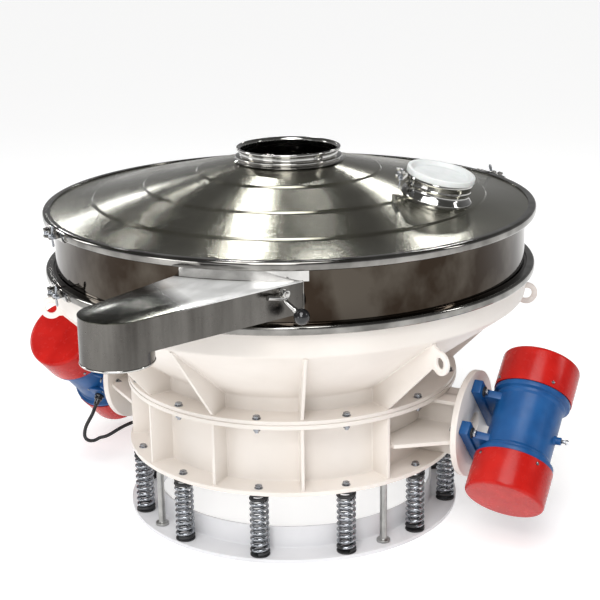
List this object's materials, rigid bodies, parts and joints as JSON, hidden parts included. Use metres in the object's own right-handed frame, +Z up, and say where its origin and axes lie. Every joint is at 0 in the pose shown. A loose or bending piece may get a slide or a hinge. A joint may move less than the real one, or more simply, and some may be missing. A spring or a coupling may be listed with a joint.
{
  "type": "vibrating sieve",
  "caption": "Round vibrating sieve on coil springs: cone bowl, screen deck, clamped cover with feed neck, side spout with gate, and tilted side motors.",
  "frame": {"origin": "centre of the base ring's underside, on the machine's axis", "axes": "+Z up along the machine's axis, +X towards the right-hand motor, -Y towards the discharge spout"},
  "size_m": [1.482, 1.5928, 0.9507],
  "materials": {
    "cream_paint": "warm cream gloss paint",
    "red_paint": "red gloss paint",
    "blue_paint": "blue cast housing paint",
    "polished_steel": "mirror-polished stainless steel",
    "brushed_steel": "brushed stainless steel",
    "zinc_plate": "zinc-plated steel",
    "dark_steel": "dark plain steel",
    "black_rubber": "matt black rubber",
    "black_plastic": "glossy black plastic",
    "white_silicone": "white food-grade plastic",
    "mesh_steel": "woven stainless wire"
  },
  "bodies": {
    "base": {"base_ring": "cream_paint", "stop_post_1": "dark_steel", "stop_post_2": "dark_steel", "stop_post_3": "dark_steel", "stop_post_4": "dark_steel", "spring_01": "zinc_plate", "spring_02": "zinc_plate", "spring_03": "zinc_plate", "spring_04": "zinc_plate", "spring_05": "zinc_plate", "spring_06": "zinc_plate", "spring_07": "zinc_plate", "spring_08": "zinc_plate", "spring_09": "zinc_plate", "spring_10": "zinc_plate", "spring_11": "zinc_plate", "spring_12": "zinc_plate", "motor_lead": "black_rubber", "lead_coil": "black_rubber"},
    "deck": {"spring_housing": "cream_paint", "bowl": "cream_paint", "motor_bracket_right": "cream_paint", "motor_bracket_left": "cream_paint", "motor_body_right": "blue_paint", "motor_cap_right_upper": "red_paint", "motor_cap_right_lower": "red_paint", "cable_gland_right": "black_plastic", "motor_body_left": "blue_paint", "motor_cap_left_upper": "red_paint", "motor_cap_left_lower": "red_paint", "cable_gland_left": "black_plastic", "lower_clamp_front": "polished_steel", "lower_clamp_rear": "polished_steel", "upper_clamp_front": "polished_steel", "upper_clamp_rear": "polished_steel", "sieve_drum": "polished_steel", "screen_frame": "brushed_steel", "screen_mesh": "mesh_steel", "cover_gasket": "white_silicone", "cover": "brushed_steel", "inlet_neck": "polished_steel", "port_neck": "polished_steel", "port_strap": "polished_steel", "port_cap": "white_silicone", "discharge_spout": "polished_steel"},
    "rotor_right": {"motor_shaft_right": "dark_steel", "eccentric_right_upper": "dark_steel", "eccentric_right_lower": "dark_steel"},
    "rotor_left": {"motor_shaft_left": "dark_steel", "eccentric_left_upper": "dark_steel", "eccentric_left_lower": "dark_steel"},
    "gate": {"gate_flap": "brushed_steel", "gate_lever": "polished_steel", "lever_knob": "black_plastic"},
    "lower_bolt_front": {"lower_bolt_front": "zinc_plate"},
    "lower_bolt_rear": {"lower_bolt_rear": "zinc_plate"},
    "upper_bolt_front": {"upper_bolt_front": "zinc_plate"},
    "upper_bolt_rear": {"upper_bolt_rear": "zinc_plate"},
    "port_bolt": {"port_bolt": "zinc_plate"}
  },
  "joints": [
    {"name": "deck_bounce", "type": "slide", "parent": "base", "child": "deck", "axis": [0, 0, 1], "range_m": [-0.006, 0.006], "stiffness_N_per_m": 110000, "springref_m": 0.0155, "deforming": ["spring_01", "spring_02", "spring_03", "spring_04", "spring_05", "spring_06", "spring_07", "spring_08", "spring_09", "spring_10", "spring_11", "spring_12", "motor_lead"]},
    {"name": "rotor_right_spin", "type": "hinge", "parent": "deck", "child": "rotor_right", "pos_m": [0.641, 0, 0.278], "axis": [0, 0.7314, 0.682], "continuous": true},
    {"name": "rotor_left_spin", "type": "hinge", "parent": "deck", "child": "rotor_left", "pos_m": [-0.641, 0, 0.278], "axis": [0, -0.7314, 0.682], "continuous": true},
    {"name": "gate_swing", "type": "hinge", "parent": "deck", "child": "gate", "pos_m": [0.27189, -0.57774, 0.7485], "axis": [-0.9123, 0.4094, 0], "range_deg": [0, 75]},
    {"name": "lower_bolt_front_swing", "type": "hinge", "parent": "deck", "child": "lower_bolt_front", "pos_m": [-0.38846, -0.51256, 0.6556], "axis": [0, 0, -1], "range_deg": [0, 100]},
    {"name": "lower_bolt_rear_swing", "type": "hinge", "parent": "deck", "child": "lower_bolt_rear", "pos_m": [0.38846, 0.51256, 0.6556], "axis": [0, 0, -1], "range_deg": [0, 100]},
    {"name": "upper_bolt_front_swing", "type": "hinge", "parent": "deck", "child": "upper_bolt_front", "pos_m": [-0.38846, -0.51256, 0.8022], "axis": [0, 0, -1], "range_deg": [0, 100]},
    {"name": "upper_bolt_rear_swing", "type": "hinge", "parent": "deck", "child": "upper_bolt_rear", "pos_m": [0.38846, 0.51256, 0.8022], "axis": [0, 0, -1], "range_deg": [0, 100]},
    {"name": "port_bolt_swing", "type": "hinge", "parent": "deck", "child": "port_bolt", "pos_m": [0.31903, -0.03304, 0.91172], "axis": [-0.2191, 0, -0.9757], "range_deg": [0, 100]}
  ]
}
